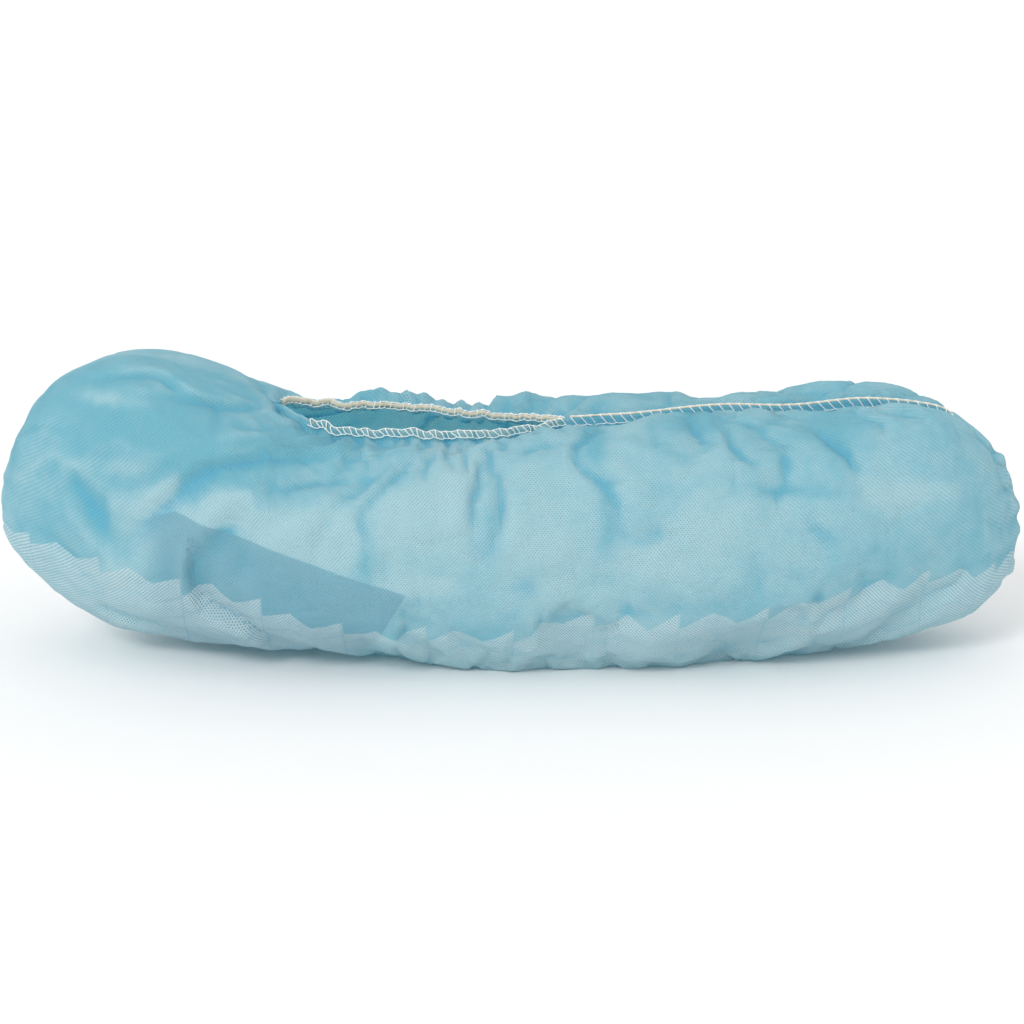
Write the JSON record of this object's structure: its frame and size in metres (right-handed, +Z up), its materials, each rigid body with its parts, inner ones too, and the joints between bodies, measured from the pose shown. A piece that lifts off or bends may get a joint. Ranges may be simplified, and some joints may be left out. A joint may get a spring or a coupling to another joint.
{
  "type": "disposable shoe cover",
  "caption": "Disposable nonwoven overshoe: a puffed cloth bag with an elastic foot opening, an overlocked toe seam and a non-slip print on its sole.",
  "frame": {"origin": "under the middle of the bag, on the surface that it rests on", "axes": "+X from the heel to the toe, -Y towards the side that the picture shows, +Z up"},
  "size_m": [0.4, 0.1166, 0.116],
  "materials": {
    "nonwoven_cloth": "light blue spunbonded polypropylene, slightly see-through, with fine bond dots, soft folds and a white non-slip print on the sole",
    "elastic_edge": "cream elastic wrapped in white overlock thread, gathered",
    "overlock_thread": "white polyester overlock thread over a folded cloth edge"
  },
  "bodies": {
    "root": {"cover_bag": "nonwoven_cloth", "elastic_rim": "elastic_edge", "toe_seam": "overlock_thread"}
  },
  "joints": []
}
